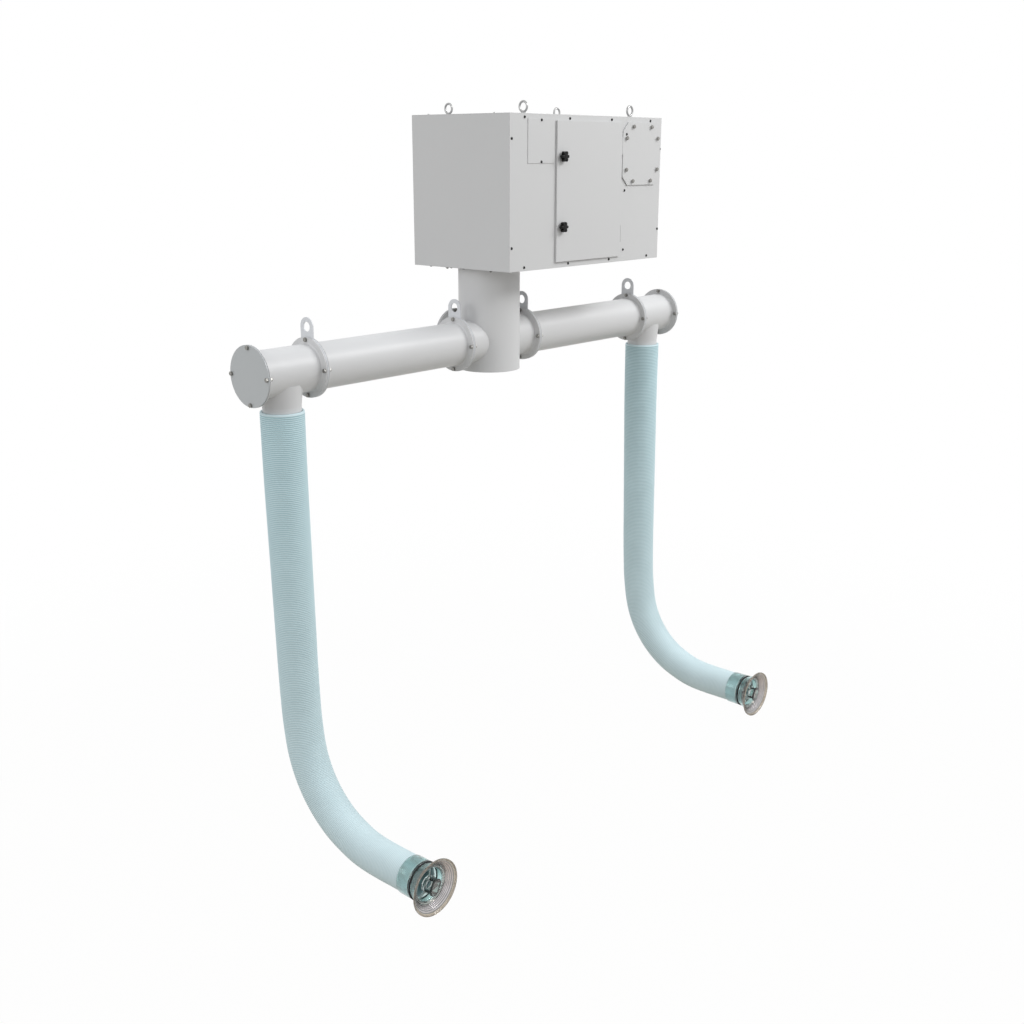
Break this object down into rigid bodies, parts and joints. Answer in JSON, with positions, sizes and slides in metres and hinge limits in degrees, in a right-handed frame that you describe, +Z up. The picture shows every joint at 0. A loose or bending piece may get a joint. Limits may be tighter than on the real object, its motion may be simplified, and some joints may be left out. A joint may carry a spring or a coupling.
{
  "type": "fume extraction unit",
  "caption": "Ceiling-hung filter and fan cabinet with a manifold duct and ribbed hose arms ending in clear hoods.",
  "frame": {"origin": "centre of the cabinet's top face, between the hanging eye bolts", "axes": "+X along the cabinet's front from left to right, +Y to the back, +Z up"},
  "size_m": [1.7914, 0.7546, 2.0499],
  "materials": {
    "white_powder_coat": "smooth light grey-white powder coat, low sheen",
    "white_duct_coat": "satin off-white powder coat",
    "black_screw": "black coated steel",
    "zinc_plated": "bright zinc plate",
    "galvanised_sheet": "plain galvanised sheet",
    "black_rubber": "matt black rubber",
    "grey_rubber": "grey flat seal",
    "black_knob": "black moulded knob",
    "filter_medium": "folded white filter medium in a card frame",
    "carbon_filter": "black granule bed in a dark frame",
    "motor_black": "black painted motor and wheel",
    "gland_plastic": "grey nylon",
    "teal_hose": "pale teal ribbed plastic",
    "clear_plastic": "clear moulded plastic with a faint smoky tint"
  },
  "bodies": {
    "cabinet": {"top_panel": "white_powder_coat", "bottom_panel": "white_powder_coat", "left_panel": "white_powder_coat", "right_panel": "white_powder_coat", "rear_panel": "white_powder_coat", "front_panel": "white_powder_coat", "control_cover": "white_powder_coat", "outlet_blank": "white_powder_coat", "hinge_pins": "white_powder_coat", "outlet_grille": "white_powder_coat", "main_duct": "white_duct_coat", "rear_blank": "white_duct_coat", "left_duct": "white_duct_coat", "right_duct": "white_duct_coat", "left_tee": "white_duct_coat", "right_tee": "white_duct_coat", "end_caps": "white_duct_coat", "hanger_plates": "white_duct_coat", "panel_screws": "black_screw", "outlet_bolts": "zinc_plated", "eye_bolts": "zinc_plated", "main_duct_bolts": "zinc_plated", "flange_bolts": "zinc_plated", "flange_nuts": "zinc_plated", "inlet_cone": "zinc_plated", "fan_bearings": "zinc_plated", "inlet_bulkhead": "galvanised_sheet", "fan_bulkhead": "galvanised_sheet", "filter_tray": "galvanised_sheet", "filter_ceiling": "galvanised_sheet", "control_box": "galvanised_sheet", "motor_bracket": "galvanised_sheet", "filter_seals": "black_rubber", "outlet_seal": "grey_rubber", "flange_seals": "grey_rubber", "pre_filter": "filter_medium", "fine_filter": "filter_medium", "gas_filter": "carbon_filter", "fan_motor": "motor_black", "fan_controller": "motor_black", "cable_gland": "gland_plastic"},
    "door": {"door_panel": "white_powder_coat", "door_seal": "black_rubber", "door_knuckles": "white_powder_coat"},
    "latch_upper": {"knob_upper": "black_knob", "tongue_upper": "zinc_plated"},
    "latch_lower": {"knob_lower": "black_knob", "tongue_lower": "zinc_plated"},
    "fan_rotor": {"fan_wheel": "motor_black", "fan_shaft": "zinc_plated"},
    "arm_left": {"hose_left": "teal_hose", "sleeve_left": "clear_plastic", "seal_ring_left": "black_rubber"},
    "arm_right": {"hose_right": "teal_hose", "sleeve_right": "clear_plastic", "seal_ring_right": "black_rubber"},
    "nozzle_left": {"hood_left": "clear_plastic", "guard_left": "clear_plastic"},
    "nozzle_right": {"hood_right": "clear_plastic", "guard_right": "clear_plastic"}
  },
  "joints": [
    {"name": "door_hinge", "type": "hinge", "parent": "cabinet", "child": "door", "pos_m": [0.152, -0.1954, -0.215], "axis": [0, 0, 1], "range_deg": [0, 110]},
    {"name": "latch_upper_turn", "type": "hinge", "parent": "door", "child": "latch_upper", "pos_m": [-0.1369, -0.198, -0.1154], "axis": [0, 1, 0], "range_deg": [0, 90]},
    {"name": "latch_lower_turn", "type": "hinge", "parent": "door", "child": "latch_lower", "pos_m": [-0.1369, -0.198, -0.313], "axis": [0, 1, 0], "range_deg": [0, 90]},
    {"name": "fan_spin", "type": "hinge", "parent": "cabinet", "child": "fan_rotor", "pos_m": [0.221, 0, -0.215], "axis": [1, 0, 0], "continuous": true},
    {"name": "arm_left_swivel", "type": "hinge", "parent": "cabinet", "child": "arm_left", "pos_m": [-1.029, 0, -0.75], "axis": [0, 0, 1], "range_deg": [-170, 170]},
    {"name": "nozzle_left_turn", "type": "hinge", "parent": "arm_left", "child": "nozzle_left", "pos_m": [-1.029, -0.496, -1.935], "axis": [0, -1, 0], "continuous": true},
    {"name": "arm_right_swivel", "type": "hinge", "parent": "cabinet", "child": "arm_right", "pos_m": [0.558, 0, -0.75], "axis": [0, 0, 1], "range_deg": [-170, 170]},
    {"name": "nozzle_right_turn", "type": "hinge", "parent": "arm_right", "child": "nozzle_right", "pos_m": [0.558, -0.496, -1.935], "axis": [0, -1, 0], "continuous": true}
  ]
}
